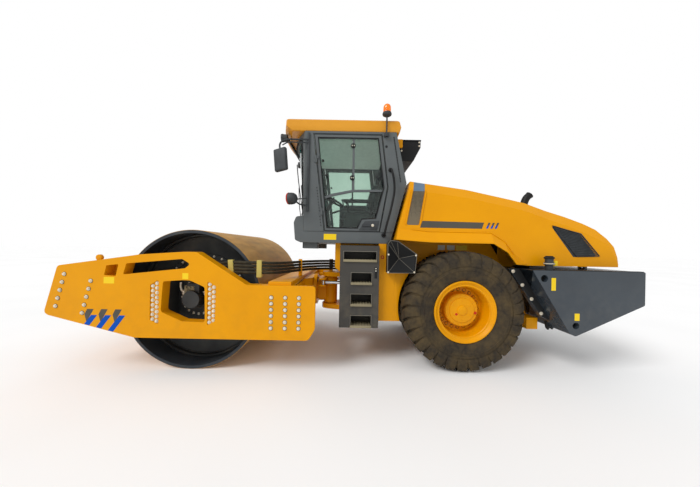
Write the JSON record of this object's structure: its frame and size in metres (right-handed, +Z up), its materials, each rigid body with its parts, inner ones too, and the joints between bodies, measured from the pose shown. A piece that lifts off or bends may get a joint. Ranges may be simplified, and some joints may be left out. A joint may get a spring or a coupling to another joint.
{
  "type": "articulated single-drum road roller",
  "caption": "Articulated soil compactor with a smooth steel drum in a yoke frame, enclosed cab, tilting hood, rear counterweight and lugged drive tyres.",
  "frame": {"origin": "centre of the bounding box's footprint, on the ground", "axes": "+Z up; the machine faces -Y with its drum; +X is its left side, where the pictured door is"},
  "size_m": [2.47, 7.0336, 3.4032],
  "materials": {
    "yellow_paint": "gloss enamel",
    "grey_paint": "satin powder coat",
    "dark_paint": "satin enamel",
    "black_steel": "satin black",
    "drum_steel": "rolled and turned",
    "chromed_rod": "hard chrome",
    "tyre_rubber": "moulded rubber",
    "tinted_glass": "green tinted",
    "seat_fabric": "woven",
    "moulded_plastic": "textured",
    "amber_lens": "clear amber",
    "hose_rubber": "braid-covered hydraulic hose"
  },
  "bodies": {
    "rear_frame": {"chassis": "yellow_paint", "rear_axle": "yellow_paint", "engine_block": "black_steel", "side_tank_left": "yellow_paint", "side_tank_right": "yellow_paint", "step_box_left": "grey_paint", "step_box_right": "grey_paint", "air_box_left": "grey_paint", "air_box_right": "grey_paint", "cab_floor": "grey_paint", "cab_frame": "grey_paint", "cab_roof": "yellow_paint", "windshield": "tinted_glass", "rear_window": "tinted_glass", "seat": "seat_fabric", "steering_console": "moulded_plastic", "condenser_box": "black_steel", "beacon": "amber_lens", "mirror_set_left": "moulded_plastic", "mirror_set_right": "moulded_plastic", "roof_lamps": "moulded_plastic", "grab_rail_left": "black_steel", "grab_rail_right": "black_steel", "counterweight": "dark_paint", "filler_neck": "moulded_plastic"},
    "link": {"articulation_link": "yellow_paint", "centre_hoses": "hose_rubber"},
    "front_frame": {"side_plate_left": "yellow_paint", "side_plate_right": "yellow_paint", "front_crossbeam": "yellow_paint", "rear_crossbeam": "yellow_paint", "drum_carrier_left": "black_steel", "drum_carrier_right": "black_steel", "drum_hoses": "hose_rubber"},
    "drum": {"drum_shell": "drum_steel", "drum_head_left": "drum_steel", "drum_head_right": "drum_steel"},
    "wheel_left": {"tyre_left": "tyre_rubber", "rim_left": "yellow_paint"},
    "wheel_right": {"tyre_right": "tyre_rubber", "rim_right": "yellow_paint"},
    "door_left": {"door_left": "grey_paint", "door_glass_left": "tinted_glass"},
    "door_right": {"door_right": "grey_paint", "door_glass_right": "tinted_glass"},
    "hood": {"hood_shell": "yellow_paint", "hood_band": "dark_paint", "hood_grille_left": "moulded_plastic", "hood_grille_right": "moulded_plastic", "exhaust": "black_steel"},
    "steering_barrel_left": {"steering_barrel_left": "black_steel"},
    "steering_barrel_right": {"steering_barrel_right": "black_steel"},
    "steering_rod_left": {"steering_rod_left": "chromed_rod"},
    "steering_rod_right": {"steering_rod_right": "chromed_rod"}
  },
  "joints": [
    {"name": "steering", "type": "hinge", "parent": "rear_frame", "child": "link", "pos_m": [0, -0.3, 0.85], "axis": [0, 0, 1], "range_deg": [-33, 33], "deforming": ["centre_hoses"]},
    {"name": "oscillation", "type": "hinge", "parent": "link", "child": "front_frame", "pos_m": [0, -0.5, 0.85], "axis": [0, 1, 0], "range_deg": [-10, 10], "deforming": ["centre_hoses"]},
    {"name": "drum_roll", "type": "hinge", "parent": "front_frame", "child": "drum", "pos_m": [0, -1.921, 0.85], "axis": [1, 0, 0], "continuous": true},
    {"name": "wheel_left_roll", "type": "hinge", "parent": "rear_frame", "child": "wheel_left", "pos_m": [0.785, 1.434, 0.75], "axis": [1, 0, 0], "continuous": true},
    {"name": "wheel_right_roll", "type": "hinge", "parent": "rear_frame", "child": "wheel_right", "pos_m": [-0.785, 1.434, 0.75], "axis": [1, 0, 0], "continuous": true},
    {"name": "door_left_hinge", "type": "hinge", "parent": "rear_frame", "child": "door_left", "pos_m": [0.814, -0.349, 1.731], "axis": [0, 0.1237, -0.9923], "range_deg": [0, 80]},
    {"name": "door_right_hinge", "type": "hinge", "parent": "rear_frame", "child": "door_right", "pos_m": [-0.814, -0.349, 1.731], "axis": [0, -0.1237, 0.9923], "range_deg": [0, 80]},
    {"name": "hood_hinge", "type": "hinge", "parent": "rear_frame", "child": "hood", "pos_m": [0, 3.482, 1.312], "axis": [-1, 0, 0], "range_deg": [0, 50]},
    {"name": "steering_barrel_left_pin", "type": "hinge", "parent": "rear_frame", "child": "steering_barrel_left", "pos_m": [0.25, 0.56, 0.985], "axis": [0, 0, 1], "range_deg": [-5, 5]},
    {"name": "steering_barrel_right_pin", "type": "hinge", "parent": "rear_frame", "child": "steering_barrel_right", "pos_m": [-0.25, 0.56, 0.985], "axis": [0, 0, 1], "range_deg": [-5, 5]},
    {"name": "steering_rod_left_slide", "type": "slide", "parent": "steering_barrel_left", "child": "steering_rod_left", "axis": [0, -1, 0], "range_m": [-0.16, 0.16]},
    {"name": "steering_rod_right_slide", "type": "slide", "parent": "steering_barrel_right", "child": "steering_rod_right", "axis": [0, -1, 0], "range_m": [-0.16, 0.16]}
  ],
  "couplings": [
    {"joint": "steering_barrel_left_pin", "follows": "steering", "ratio": 0.091},
    {"joint": "steering_barrel_right_pin", "follows": "steering", "ratio": 0.091},
    {"joint": "steering_rod_left_slide", "follows": "steering", "m_per_rad": -0.24},
    {"joint": "steering_rod_right_slide", "follows": "steering", "m_per_rad": 0.24}
  ]
}
